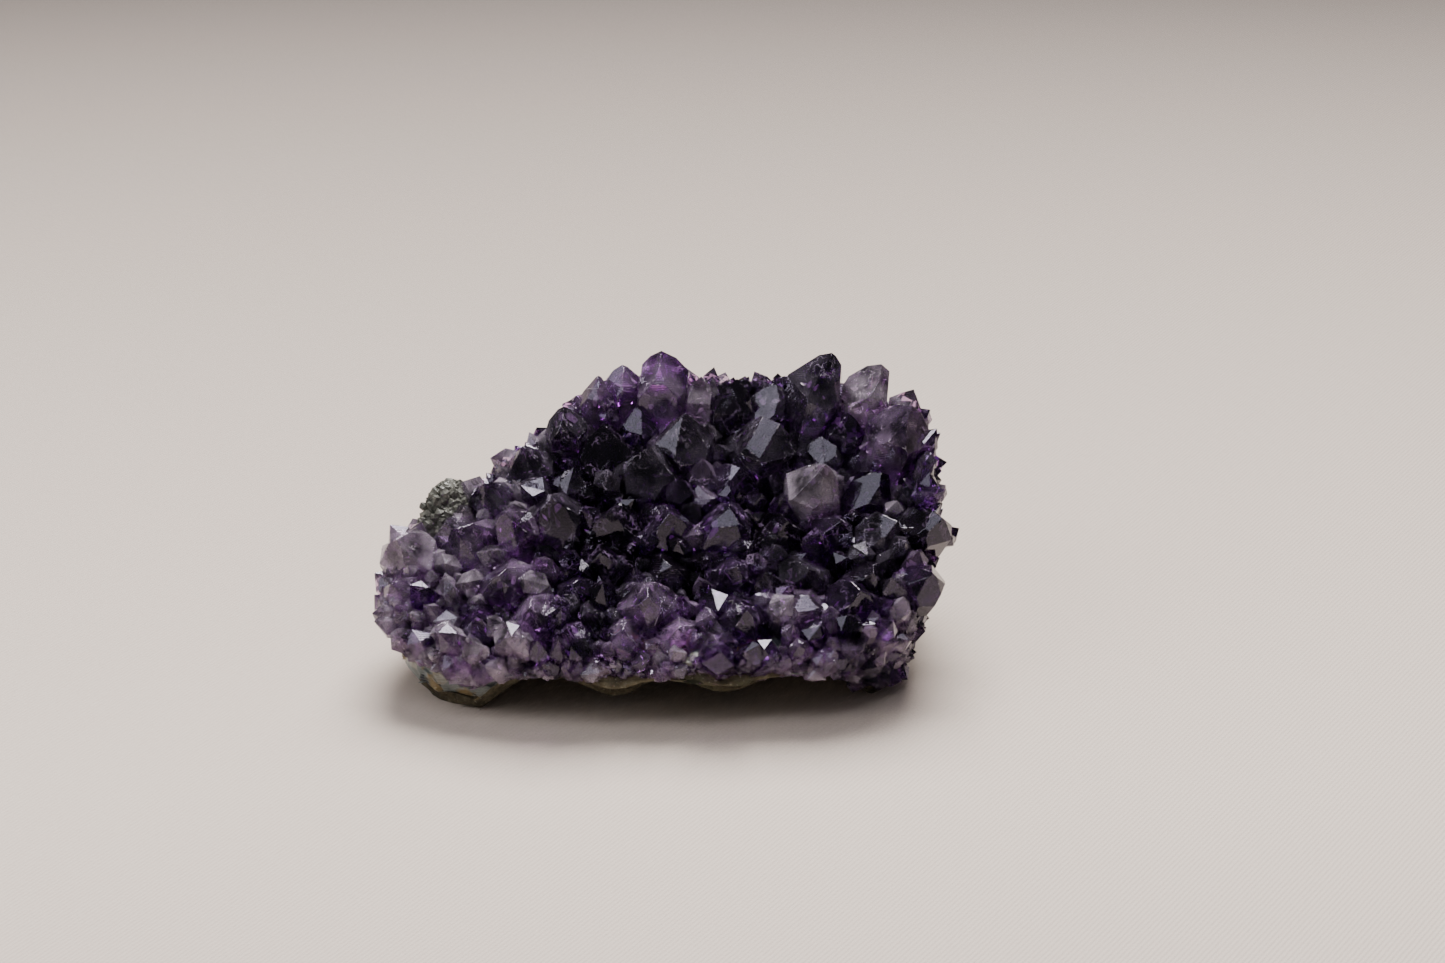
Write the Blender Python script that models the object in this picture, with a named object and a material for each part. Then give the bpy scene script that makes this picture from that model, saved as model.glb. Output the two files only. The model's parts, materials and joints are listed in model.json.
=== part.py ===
"""Amethyst cluster: a broken piece of a geode's wall, with its layers and its larger crystals.

From the outside in, the wall is a lumpy basalt rind, a thin band of agate and a bed of coarse
quartz. Each layer is one closed solid on the same plan, 0.3 mm clear of the next. The larger
amethyst crystals stand in sockets in the bed, one solid each: a six-sided prism that ends in the
six rhombohedral faces of quartz, cut back flat where it has grown against its neighbours.

Frame: +Z up, -Y the side that the bed of crystals leans towards, origin on the ground under the
middle. All the design's lengths are in millimetres and become metres where the meshes are made.
"""
import math

import bmesh
import bpy
from mathutils import Matrix, Vector, noise

MM = 0.001
EMPTY = "ground_centre"

# ---- driving dimensions, mm ----
GAP = 0.3                 # clear space between touching solids
SEGMENTS = 48             # facets round each layer
BED_HEIGHT = 24.4         # the bed's height over the origin
BED_SLOPE = 0.48          # its rise per mm towards the back
BED_DISH = 3.0            # how far its middle is hollowed
DISH_AT = (2, -2)         # the middle of the hollow
DISH_REACH = (44, 28)     # its half length and half width
BED_LEFT_FALL = 2.5       # how far it falls away at the left end
BED_LUMP = 0.4            # height of its small lumps
CRUST_FRONT = 3.2         # quartz along the front edge
CRUST_ENDS = 7.5          # more of it at both ends
CRUST_BACK = 5.0          # and at the back
LEAST_CRUST = 1.6         # the quartz is never thinner than this
KNOB = (-38.5, 2.5)       # a knob of the wall rock that stands up at the back left
KNOB_HEIGHT = 5.0
KNOB_WIDTH = 7.5
BAND_THICKNESS = 0.9      # agate, in general
BAND_CORNER = 4.4         # extra agate at the front left corner
CORNER_AT = (-41, -21)    # where that corner is
CORNER_REACH = 10.5       # and how far the extra agate spreads
LEAST_RIND = 2.2          # room kept for the rind under the other layers
THINNEST_RIND = 1.0       # the rind is never thinner than this
ARCH_HEIGHT = 5.6         # how far the front edge is held off the ground
RIND_LUMP = 1.5           # height of the lumps on the rind
RIND_CLEAR = 1.4          # the underside's mean height, away from the feet and the arch
FEET = [(-34, -19), (34, -12), (-11, 14), (24, 16)]   # the lumps that it rests on
FOOT_REACH = 7.5          # how far each of them spreads
FOOT_DROP = 4.5           # how far it reaches down before it is cut off level
SIDE_CHIP = 0.7           # height of the chips on the broken side
SIDE_LUMP = 0.9           # and of its larger lumps
FAN_ACROSS = 0.007        # how the axes fan out, per mm from the middle to the ends
FAN_BACK = 0.021          # and per mm from the middle to the back
FAN_FRONT = 0.2           # the most that they fan out towards the front
ROOT_DEPTH = 2.2          # how deep a crystal is rooted in the bed
LEAST_UNDER_ROOT = 1.0    # quartz left under a crystal's root
FACE_TILT = math.radians(51.8)   # between a rhombohedral face's normal and the crystal's axis

# The bed's border and the foot's, in the same order, starting at the front left corner.
BED_BORDER = [
    (-42.5, -22), (-34, -27), (-20, -29), (-4, -30), (12, -29.5), (28, -28), (38, -23), (44, -12),
    (46, 0), (46, 10), (43, 20), (34, 26), (21, 27), (5, 27), (-9, 26), (-18, 20), (-27, 12),
    (-36, 5), (-45, -3), (-47, -13),
]
FOOT_BORDER = [
    (-39, -21), (-32, -24), (-19, -25), (-4, -25), (12, -25), (27, -23), (37, -19.5), (41, -11),
    (42, 0), (41, 9), (38, 17), (31, 22), (20, 23), (5, 23), (-8, 22), (-18, 17), (-27, 11),
    (-35, 5), (-40, -2), (-42, -12),
]
CENTRE = Vector((0.0, -2.0))

# colour (linear RGB), roughness
FINISHES = {
    "basalt": ((0.10, 0.08, 0.045), 0.85),
    "agate": ((0.33, 0.36, 0.36), 0.35),
    "quartz": ((0.42, 0.36, 0.42), 0.45),
    "dark": ((0.035, 0.018, 0.07), 0.15),
    "purple": ((0.10, 0.045, 0.19), 0.15),
    "lilac": ((0.32, 0.22, 0.42), 0.2),
    "pale": ((0.50, 0.45, 0.52), 0.25),
    "grey": ((0.17, 0.16, 0.18), 0.25),
}

# The larger crystals stand in rows across the bed. A row is the feet (x, y) of its first and last
# crystal and then its crystals in order, which share out the way between those two feet by their
# widths. Each crystal is its name, size, height over the bed, twist about the axis in degrees
# and colour.
WIDTHS = {"narrow": 7, "medium": 9, "wide": 10.5, "widest": 12}
ROWS = [
    # ridge, up the back left border
    ((-36, -3), (-11, 20), [
        ("left_grey", "medium", 7, 55, "grey"),
        ("ridge_lower", "narrow", 8, 10, "grey"),
        ("ridge_upper", "medium", 8, 35, "grey"),
        ("crest_left_outer", "narrow", 9, 12, "grey"),
        ("crest_left_middle", "narrow", 9, 40, "lilac"),
    ]),
    # crest, along the back
    ((-7, 22), (42, 18), [
        ("crest_left_inner", "narrow", 9, 5, "lilac"),
        ("crest_point", "wide", 12.5, 20, "lilac"),
        ("crest_small", "narrow", 8, 33, "pale"),
        ("crest_dark_left", "medium", 8, 50, "dark"),
        ("crest_dark_right", "medium", 7.5, 15, "grey"),
        ("crest_peak", "widest", 14, 0, "grey"),
        ("crest_peak_right", "wide", 12.5, 8, "pale"),
        ("crest_right_end", "narrow", 8, 44, "pale"),
    ]),
    # behind the upper row, at its two ends
    ((-4, 17), (32, 15), [
        ("crest_behind", "narrow", 7, 25, "purple"),
        ("right_upper_purple", "medium", 9, 13, "purple"),
    ]),
    # upper row
    ((-10, 13), (40, 11), [
        ("upper_dark", "wide", 8, 46, "dark"),
        ("upper_frosted", "wide", 11, 36, "grey"),
        ("upper_grey_face", "wide", 11, 26, "grey"),
        ("right_upper_grey", "narrow", 7, 49, "grey"),
        ("right_lilac_large", "wide", 13, 21, "lilac"),
    ]),
    # above the middle
    ((-2, 8), (12, 7), [
        ("upper_grey_tip", "wide", 10, 11, "grey"),
        ("upper_glint", "medium", 7, 54, "purple"),
    ]),
    # right of the middle
    ((26, 3), (44, 3), [
        ("centre_rimmed", "wide", 12, 39, "pale"),
        ("right_lilac_low", "medium", 9, 57, "lilac"),
        ("right_edge", "narrow", 8, 9, "pale"),
    ]),
    # middle, from the left veils to the right border
    ((-18, -1), (45, -5), [
        ("left_veiled", "wide", 10, 48, "grey"),
        ("centre_dark", "wide", 8, 20, "dark"),
        ("centre_purple", "wide", 9, 44, "purple"),
        ("centre_facet", "wide", 10, 17, "purple"),
        ("centre_right_deep", "wide", 8, 31, "dark"),
        ("right_dull", "medium", 8, 34, "purple"),
        ("right_facet", "medium", 8, 47, "grey"),
        ("right_block", "narrow", 9, 29, "dark"),
    ]),
    # left
    ((-33, -5), (-25, -4), [
        ("left_lilac_large", "wide", 9, 0, "lilac"),
        ("left_lilac_tall", "medium", 11, 24, "lilac"),
    ]),
    # left end
    ((-43, -7), (-44, -14), [
        ("left_end", "medium", 9, 18, "pale"),
        ("left_end_low", "narrow", 7, 30, "lilac"),
    ]),
    # left, below the middle
    ((-26, -14), (-5, -15), [
        ("left_rimmed", "wide", 9, 14, "lilac"),
        ("front_left_dark", "narrow", 7, 6, "purple"),
        ("middle_left_small", "narrow", 6, 16, "grey"),
    ]),
    # below the middle
    ((-10, -9), (44, -15), [
        ("middle_left_dark", "medium", 8, 42, "dark"),
        ("centre_deep", "medium", 7, 51, "dark"),
        ("centre_low", "wide", 8, 3, "purple"),
        ("front_right_striped", "medium", 9, 53, "grey"),
        ("right_dark", "medium", 8, 5, "dark"),
        ("right_pale_point", "narrow", 8, 19, "pale"),
    ]),
    # front left
    ((-30, -21), (-2, -19), [
        ("front_left_small", "narrow", 6.5, 52, "purple"),
        ("front_left_block", "medium", 8, 38, "lilac"),
        ("front_grey_small", "narrow", 6, 58, "grey"),
        ("front_lilac_tall", "wide", 11, 32, "lilac"),
    ]),
    # front right
    ((14, -21), (32, -18), [
        ("front_purple_large", "wide", 8.5, 15, "purple"),
        ("front_right_bright", "medium", 9, 26, "lilac"),
        ("front_right_round", "medium", 9, 41, "purple"),
    ]),
    # front border
    ((-15, -24), (3, -24), [
        ("front_left_low", "narrow", 6.5, 27, "purple"),
        ("front_lilac_small", "narrow", 7, 22, "lilac"),
        ("front_lilac_twin", "narrow", 7.5, 2, "lilac"),
    ]),
]


# ---- small helpers ----
def smooth(low, high, value):
    """0 at low, 1 at high, with a level start and end."""
    t = min(max((value - low) / (high - low), 0.0), 1.0)
    return t * t * (3.0 - 2.0 * t)


def lumps(x, y, z, size):
    """Rounded noise between about -1 and 1, with lumps of the given size in mm."""
    return 1.6 * noise.noise(Vector((x, y, z)) / size)


def planted(first, last, members):
    """A row's crystals with their feet: each step along the row is the mean of two neighbours' widths."""
    widths = [WIDTHS[size] for _, size, *_ in members]
    steps = [(one + other) / 2 for one, other in zip(widths, widths[1:])]
    for place, (name, size, *rest) in enumerate(members):
        foot = Vector(first).lerp(Vector(last), sum(steps[:place]) / sum(steps))
        yield (name, foot.x, foot.y, WIDTHS[size], *rest)


def loop_point(points, t):
    """Catmull-Rom curve through a closed list of plan points, at t from 0 to 1."""
    count = len(points)
    place = (t % 1.0) * count
    i = int(place)
    u = place - i
    p0, p1, p2, p3 = (Vector(points[(i + k) % count]) for k in (-1, 0, 1, 2))
    return 0.5 * (2 * p1 + (p2 - p0) * u + (2 * p0 - 5 * p1 + 4 * p2 - p3) * u * u
                  + (3 * p1 - p0 - 3 * p2 + p3) * u * u * u)


# ---- the layers' surfaces, as heights over the plan ----
def bed_height(x, y):
    """The sloping, dished top of the quartz."""
    across, back = (x - DISH_AT[0]) / DISH_REACH[0], (y - DISH_AT[1]) / DISH_REACH[1]
    dish = max(0.0, 1.0 - across ** 2 - back ** 2)
    plane = BED_HEIGHT + BED_SLOPE * y
    return plane - BED_DISH * dish - BED_LEFT_FALL * smooth(-18, -42, x)


def bed_top(x, y):
    """The bed with its small lumps and the knob at the back left."""
    away = math.hypot(x - KNOB[0], y - KNOB[1]) / KNOB_WIDTH
    knob = KNOB_HEIGHT * math.exp(-4 * away * away)
    return bed_height(x, y) + BED_LUMP * lumps(x, y, 3.0, 5.0) + knob


def ground_side(x, y):
    """The rind's underside: lumps cut off level at the ground, and an arch under the front."""
    across = smooth(-34, -22, x) * (1.0 - 0.75 * smooth(26, 40, x))
    arch = ARCH_HEIGHT * across * smooth(-3, -22, y)
    foot = max(math.exp(-((x - fx) ** 2 + (y - fy) ** 2) / FOOT_REACH ** 2) for fx, fy in FEET)
    return max(0.0, arch + RIND_CLEAR + RIND_LUMP * lumps(x, y, 9.0, 9.0) - FOOT_DROP * foot)


def quartz_under(x, y):
    """Under the quartz: thin along the front, thick at both ends and at the back."""
    thick = CRUST_FRONT + CRUST_ENDS * smooth(20, 46, abs(x)) + CRUST_BACK * smooth(-24, 10, y)
    room = bed_height(x, y) - ground_side(x, y) - LEAST_RIND - 2 * GAP - agate_thickness(x, y)
    return bed_height(x, y) - max(min(thick, room), LEAST_CRUST)


def agate_thickness(x, y):
    """A thin band that swells at the front left corner."""
    away = math.hypot(x - CORNER_AT[0], y - CORNER_AT[1]) / CORNER_REACH
    return BAND_THICKNESS + BAND_CORNER * math.exp(-away * away)


def agate_top(x, y):
    return quartz_under(x, y) - GAP


def agate_under(x, y):
    return agate_top(x, y) - agate_thickness(x, y)


def rind_top(x, y):
    return agate_under(x, y) - GAP


def rind_under(x, y):
    return min(ground_side(x, y), rind_top(x, y) - THINNEST_RIND)


def border(t, height):
    """Plan point of the broken side at a height: the bed's border above, the foot's below."""
    top, foot = loop_point(BED_BORDER, t), loop_point(FOOT_BORDER, t)
    z_top = bed_height(top.x, top.y)
    z_foot = ground_side(foot.x, foot.y)
    fall = min(max((z_top - height) / (z_top - z_foot), 0.0), 1.0)
    point = top.lerp(foot, fall * fall)
    outwards = (point - CENTRE).normalized()
    chips = SIDE_CHIP * lumps(point.x, point.y, height, 6.0)
    return point + outwards * chips


def border_on(t, surface):
    """Plan point where a layer's surface meets the broken side."""
    point = loop_point(BED_BORDER, t)
    for _ in range(4):
        point = border(t, surface(point.x, point.y))
    return point


# ---- mesh helpers ----
def new_object(name, bm, finish, group, place=Matrix()):
    """Make an object in metres from a bmesh in mm, with its own material, under the empty."""
    bm.transform(Matrix.Scale(MM, 4))
    mesh = bpy.data.meshes.new(name)
    bm.to_mesh(mesh)
    bm.free()
    thing = bpy.data.objects.new(name, mesh)
    thing.matrix_world = place
    thing.parent = bpy.data.objects[EMPTY]
    group.objects.link(thing)
    colour, roughness = FINISHES[finish]
    material = bpy.data.materials.new(name)
    material.use_nodes = True
    shader = material.node_tree.nodes["Principled BSDF"]
    shader.inputs["Base Color"].default_value = (*colour, 1.0)
    shader.inputs["Roughness"].default_value = roughness
    material.diffuse_color = (*colour, 1.0)
    mesh.materials.append(material)
    return thing


def layer(name, top, under, seams, finish, group, over=7, side=1, below=5, bulge=0.0):
    """One layer of the wall: a sphere whose rings are laid out over its top, side and underside.

    seams are the two surfaces whose meeting with the broken side bounds the top and the
    underside. Two layers that touch share a seam, so their facets lie over each other.
    """
    top_seam, under_seam = seams
    rings = over + side + below
    bm = bmesh.new()
    bmesh.ops.create_uvsphere(bm, u_segments=SEGMENTS, v_segments=rings, radius=1.0)
    for vert in bm.verts:
        ring = round((math.pi / 2 - math.asin(max(-1.0, min(1.0, vert.co.z)))) / math.pi * rings)
        t = math.atan2(vert.co.y, vert.co.x) / (2 * math.pi)
        if ring <= over:
            reach, surface = ring / over, top
            plan = CENTRE + (border_on(t, top_seam) - CENTRE) * reach ** 0.85
            z = surface(plan.x, plan.y)
        elif ring >= over + side:
            reach = (rings - ring) / below
            plan = CENTRE + (border_on(t, under_seam) - CENTRE) * reach ** 0.85
            z = under(plan.x, plan.y)
        else:
            share = (ring - over) / side
            upper, lower = border_on(t, top_seam), border_on(t, under_seam)
            z = (1 - share) * top(upper.x, upper.y) + share * under(lower.x, lower.y)
            plan = border(t, z)
            outwards = (plan - CENTRE).normalized()
            plan += outwards * bulge * math.sin(math.pi * share)
            plan += outwards * SIDE_LUMP * lumps(plan.x, plan.y, z, 7.0)
        vert.co = (plan.x, plan.y, z)
    bmesh.ops.triangulate(bm, faces=bm.faces, quad_method="SHORT_EDGE")
    return new_object(name, bm, finish, group)


def cut(bm, point, outward):
    """Cut a convex solid with a plane, throw away the outward side and close the cut."""
    everything = bm.verts[:] + bm.edges[:] + bm.faces[:]
    bmesh.ops.bisect_plane(bm, geom=everything, dist=1e-5, plane_co=point, plane_no=outward,
                           clear_outer=True)
    rim = [edge for edge in bm.edges if edge.is_boundary]
    if rim:
        bmesh.ops.holes_fill(bm, edges=rim, sides=0)


# ---- the crystals ----
class Crystal:
    """A crystal's own frame: its foot on the bed, its axis, its reach and the height of its tip."""

    def __init__(self, name, x, y, width, height, twist, finish):
        self.name, self.finish = name, finish
        self.radius, self.height = width / 2, height
        self.foot = Vector((x, y, bed_height(x, y)))
        fan = Vector((FAN_ACROSS * x, max(FAN_BACK * (y + 3), -FAN_FRONT) - BED_SLOPE, 0.9))
        self.axis = fan.normalized()
        turn = self.axis.to_track_quat("Z", "Y").to_matrix().to_4x4()
        self.place = Matrix.Translation(self.foot) @ turn @ Matrix.Rotation(math.radians(twist), 4, "Z")
        self.seed = x * 1.7 + y * 3.1
        around = [math.radians(45 * k) for k in range(8)]
        rim = [(x + self.radius * math.cos(a), y + self.radius * math.sin(a)) for a in around]
        thinnest = min(bed_height(*point) - quartz_under(*point) for point in rim)
        self.root = min(ROOT_DEPTH, thinnest - LEAST_UNDER_ROOT)
        across = bed_height(x + 1, y) - bed_height(x - 1, y)
        back = bed_height(x, y + 1) - bed_height(x, y - 1)
        self.bed_normal = Vector((-across / 2, -back / 2, 1)).normalized()

    def vary(self, index, low, high):
        """A steady value between low and high for one face of this crystal."""
        share = 0.5 + 0.5 * math.sin(self.seed * 12.9898 + index * 78.233)
        return low + (high - low) * share

    def solid(self, others, grow=0.0):
        """The crystal as a bmesh in its own frame, all its faces moved out by grow."""
        bm = bmesh.new()
        back = self.place.inverted()
        length = 4 * self.radius + self.height * 1.3
        middle = Matrix.Translation((0, 0, self.height * 1.3 - length / 2))
        block = Matrix.Diagonal((self.radius * 4, self.radius * 4, length, 1.0))
        bmesh.ops.create_cube(bm, size=1.0, matrix=middle @ block)
        for k in range(6):
            around = math.radians(60 * k)
            level = Vector((math.cos(around), math.sin(around), 0))
            reach = self.radius * self.vary(k, 0.9, 1.12) + grow
            cut(bm, level * reach, level)
            large = k % 2 == 0
            lift = self.vary(k + 6, 0.0, 0.05) if large else self.vary(k + 6, 0.08, 0.22)
            normal = level * math.sin(FACE_TILT) + Vector((0, 0, math.cos(FACE_TILT)))
            tip = Vector((0, 0, self.height))
            cut(bm, tip + normal * (lift * self.radius + grow), normal)
        under = self.foot - self.bed_normal * (self.root + grow)
        cut(bm, back @ under, back.to_3x3() @ -self.bed_normal)
        for other in others:
            if other is self:
                continue
            between = other.foot - self.foot
            apart = between.length
            if apart > 1.3 * (self.radius + other.radius):
                continue
            split = (apart ** 2 + self.radius ** 2 - other.radius ** 2) / (2 * apart)
            lean = (other.axis - self.axis)
            normal = (between.normalized() + 0.5 * lean).normalized()
            point = self.foot + between.normalized() * split
            point -= normal * (GAP / 2 - grow)
            cut(bm, back @ point, back.to_3x3() @ normal)
        bmesh.ops.recalc_face_normals(bm, faces=bm.faces)
        return bm


def seat(bed, sockets):
    """Cut the sockets out of the bed and keep its one main body."""
    tool = bed.modifiers.new("sockets", "BOOLEAN")
    tool.operation = "DIFFERENCE"
    tool.operand_type = "COLLECTION"
    tool.collection = sockets
    tool.solver = "EXACT"
    graph = bpy.context.evaluated_depsgraph_get()
    mesh = bpy.data.meshes.new_from_object(bed.evaluated_get(graph))
    bed.modifiers.clear()
    bm = bmesh.new()
    bm.from_mesh(mesh)
    bmesh.ops.remove_doubles(bm, verts=bm.verts, dist=0.00003)
    bmesh.ops.dissolve_degenerate(bm, edges=bm.edges, dist=0.00003)
    left = set(bm.faces)
    bodies = []
    while left:
        body, edge_of = set(), [left.pop()]
        while edge_of:
            face = edge_of.pop()
            body.add(face)
            near = {f for e in face.edges for f in e.link_faces} & left
            left -= near
            edge_of.extend(near)
        bodies.append(body)
    bodies.sort(key=len)
    for scrap in bodies[:-1]:
        bmesh.ops.delete(bm, geom=list(scrap), context="FACES")
    bmesh.ops.delete(bm, geom=[v for v in bm.verts if not v.link_faces], context="VERTS")
    bmesh.ops.triangulate(bm, faces=bm.faces)
    bm.to_mesh(bed.data)
    bm.free()
    bpy.data.meshes.remove(mesh)


def centre_on_origin(group):
    """Move the empty so that the origin lies under the middle of the whole object's box."""
    corners = [thing.matrix_world @ vert.co for thing in group.objects
               if thing.type == "MESH" for vert in thing.data.vertices]
    for axis in range(2):
        places = [corner[axis] for corner in corners]
        bpy.data.objects[EMPTY].location[axis] = -(min(places) + max(places)) / 2
    bpy.context.view_layer.update()


def main():
    for old in list(bpy.data.objects):
        bpy.data.objects.remove(old, do_unlink=True)
    cluster = bpy.data.collections.new("amethyst_cluster")
    sockets = bpy.data.collections.new("sockets")
    for group in (cluster, sockets):
        bpy.context.scene.collection.children.link(group)
    cluster.objects.link(bpy.data.objects.new(EMPTY, None))

    layer("basalt_rind", rind_top, rind_under, (agate_under, rind_under), "basalt", cluster,
          over=6, side=5, below=8, bulge=1.2)
    layer("agate_band", agate_top, agate_under, (quartz_under, agate_under), "agate", cluster,
          over=6, side=1, below=6)
    bed = layer("quartz_bed", bed_top, quartz_under, (bed_top, quartz_under), "quartz", cluster,
                over=9, side=2, below=6)

    crystals = [Crystal(*crystal) for row in ROWS for crystal in planted(*row)]
    for crystal in crystals:
        place = Matrix.Translation(crystal.place.to_translation() * MM)
        place = place @ crystal.place.to_quaternion().to_matrix().to_4x4()
        new_object(crystal.name, crystal.solid(crystals), crystal.finish, cluster, place)
        socket = new_object(f"{crystal.name}_socket", crystal.solid(crystals, GAP),
                            crystal.finish, sockets, place)
        socket.hide_render = True
        socket.display_type = "WIRE"
    bpy.context.view_layer.update()
    seat(bed, sockets)
    centre_on_origin(cluster)


main()
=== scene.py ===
# %% [markdown]
# # Amethyst cluster
# A broken piece of a geode's wall, about 100 mm long. From the outside in it has a lumpy basalt
# rind, a thin skin of blue-grey agate, a crust of coarse quartz, and a bed of amethyst crystals
# that all grew towards the hollow of the geode. This lesson builds each layer as a surface worked
# out with numpy, and then plants the crystals: the large ones where the CAD has them, and
# hundreds of smaller ones between them.

# %% Load the frame
import json
import math

import bmesh
import bpy
import numpy as np
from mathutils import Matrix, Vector


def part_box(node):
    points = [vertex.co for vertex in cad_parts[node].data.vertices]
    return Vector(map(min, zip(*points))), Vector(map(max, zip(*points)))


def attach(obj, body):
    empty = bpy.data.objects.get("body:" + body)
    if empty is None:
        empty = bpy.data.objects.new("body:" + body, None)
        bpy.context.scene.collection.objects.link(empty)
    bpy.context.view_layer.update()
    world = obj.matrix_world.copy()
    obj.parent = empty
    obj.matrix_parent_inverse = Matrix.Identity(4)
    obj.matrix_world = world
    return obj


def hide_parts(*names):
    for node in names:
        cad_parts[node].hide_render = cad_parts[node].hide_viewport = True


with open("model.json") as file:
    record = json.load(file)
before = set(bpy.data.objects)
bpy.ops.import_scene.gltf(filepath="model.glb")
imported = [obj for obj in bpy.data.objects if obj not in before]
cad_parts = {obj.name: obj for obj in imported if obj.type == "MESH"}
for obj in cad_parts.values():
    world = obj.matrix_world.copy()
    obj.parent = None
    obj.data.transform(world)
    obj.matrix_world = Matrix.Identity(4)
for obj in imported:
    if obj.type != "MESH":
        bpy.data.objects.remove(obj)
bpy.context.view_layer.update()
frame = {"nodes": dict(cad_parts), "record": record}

MM = 0.001
rng = np.random.default_rng(7)

# %% [markdown]
# The camera stands in front of the cluster and looks a good quarter of a right angle down on it,
# with a long lens, so that the cluster is a modest size in the middle of a wide pale cloth.

# %% Camera
LOOK_DOWN = math.radians(26.5)
DISTANCE = 0.529
AIM = Vector((0.00985, 0.0014, 0.022))      # a point in the cluster, a little right of its middle
RAISED = 0.00817                            # how far the line of sight passes over it
forward = Vector((0, math.cos(LOOK_DOWN), -math.sin(LOOK_DOWN)))
upward = Vector((0, math.sin(LOOK_DOWN), math.cos(LOOK_DOWN)))
lens = bpy.data.cameras.new("camera")
lens.lens, lens.sensor_width, lens.clip_start = 75, 36, 0.01
camera = bpy.data.objects.new("camera", lens)
camera.location = AIM - DISTANCE * forward + RAISED * upward
camera.rotation_euler = (math.pi / 2 - LOOK_DOWN, 0, 0)
bpy.context.scene.collection.objects.link(camera)
bpy.context.scene.camera = camera
print("camera at, mm:", [round(c / MM) for c in camera.location])

# %% [markdown]
# Dark crystals show what light does more than what colour they are. One large soft lamp hangs
# over the cluster and a little behind it, so faces that lean back the right way flash grey or
# white and the rest stay deep. Weak lamps from the left and the front and a dim sky fill the
# shadows, and a small lamp gives the sharper sparks.

# %% Lights
def soft_lamp(name, place, aim, size, power, colour=(1, 1, 1)):
    """A square area lamp at place, turned to look at aim."""
    lamp = bpy.data.lights.new(name, "AREA")
    lamp.energy, lamp.size, lamp.color = power, size, colour
    thing = bpy.data.objects.new(name, lamp)
    thing.location = place
    thing.rotation_euler = (Vector(aim) - Vector(place)).to_track_quat("-Z", "Y").to_euler()
    bpy.context.scene.collection.objects.link(thing)


soft_lamp("lamp_above", (0.05, 0.46, 0.76), (0, 0, 0), 0.6, 21, (1, 0.965, 0.925))
soft_lamp("lamp_left", (-0.75, -0.2, 0.6), (-0.03, 0, 0), 0.6, 3.0)
soft_lamp("lamp_front", (-0.2, -0.42, 1.3), (0, 0, 0), 0.5, 2.0)
soft_lamp("lamp_spark", (0.25, -0.35, 1.2), (0, 0, 0), 0.2, 0.9)
sky = bpy.data.worlds.new("sky")
bpy.context.scene.world = sky
sky.use_nodes = True
sky.node_tree.nodes["Background"].inputs["Color"].default_value = (1, 0.98, 0.98, 1)
sky.node_tree.nodes["Background"].inputs["Strength"].default_value = 0.10

# %% [markdown]
# Every finish is a small tree of nodes. One helper makes the material and its Principled shader,
# one adds a node and wires its inputs, and one adds a noise whose size is given in millimetres,
# read on object coordinates, so that the pattern stays put on the stone.

# %% Material helpers
class Finish:
    """A material with its Principled shader, and short ways to add nodes to it."""

    def __init__(self, name):
        self.material = bpy.data.materials.new(name)
        self.material.use_nodes = True
        self.nodes = self.material.node_tree.nodes
        self.links = self.material.node_tree.links
        self.shader = self.nodes["Principled BSDF"]

    def add(self, kind, wires=(), **settings):
        """A node of this kind. wires is (input, socket or value) pairs."""
        node = self.nodes.new("ShaderNode" + kind)
        for key, value in settings.items():
            setattr(node, key, value)
        for slot, value in wires:
            self.wire(node.inputs[slot], value)
        return node

    def wire(self, slot, value):
        """Link a socket to an input, or set the input to a plain value."""
        if isinstance(value, bpy.types.NodeSocket):
            self.links.new(value, slot)
        else:
            slot.default_value = value

    def where(self, stretch=(1, 1, 1), lean=(0, 0, 0)):
        """Object coordinates in mm, stretched and turned."""
        place = self.add("TexCoord").outputs["Object"]
        scale = [s / MM for s in stretch]
        return self.add("Mapping", [("Vector", place), ("Scale", scale), ("Rotation", lean)]).outputs[0]

    def noise(self, size, detail=4.0, rough=0.55, **place):
        """Noise from 0 to 1 whose lumps are about size mm across."""
        return self.add("TexNoise", [("Vector", self.where(**place)), ("Scale", 1 / size),
                                     ("Detail", detail), ("Roughness", rough)]).outputs["Fac"]

    def ramp(self, value, *stops):
        """Colours at places from 0 to 1, with straight blends between them."""
        node = self.add("ValToRGB", [("Fac", value)])
        band = node.color_ramp
        while len(band.elements) < len(stops):
            band.elements.new(0.5)
        for element, (place, colour) in zip(band.elements, stops):
            element.position = place
            element.color = (*colour, 1) if len(colour) == 3 else colour
        return node.outputs["Color"]

    def span(self, value, low, high, out_low, out_high):
        """value from low..high carried to out_low..out_high, and held there outside."""
        return self.add("MapRange", [("Value", value), ("From Min", low), ("From Max", high),
                                     ("To Min", out_low), ("To Max", out_high)]).outputs["Result"]

    def mix(self, share, first, second):
        """The first colour at share 0, the second at 1."""
        node = self.add("Mix", data_type="RGBA")
        for slot, value in (("Factor", share), ("A", first), ("B", second)):
            place = [s for s in node.inputs if s.name == slot and s.enabled][0]
            if isinstance(value, tuple) and len(value) == 3:
                value = (*value, 1)
            self.wire(place, value)
        return [s for s in node.outputs if s.enabled][0]

    def bump(self, height, depth, over=None, strength=1.0):
        """Relief of about depth mm, over another relief if there is one."""
        wires = [("Height", height), ("Distance", depth * MM), ("Strength", strength)]
        if over is not None:
            wires.append(("Normal", over))
        return self.add("Bump", wires).outputs["Normal"]

    def maths(self, operation, first, second=0.5):
        """One operation on two values. ABSOLUTE reads only the first."""
        return self.add("Math", [(0, first), (1, second)], operation=operation).outputs[0]

    def attribute(self, name):
        """A number that a mesh keeps for each face, 0 where it has none."""
        return self.add("Attribute", attribute_name=name).outputs["Fac"]


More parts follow.
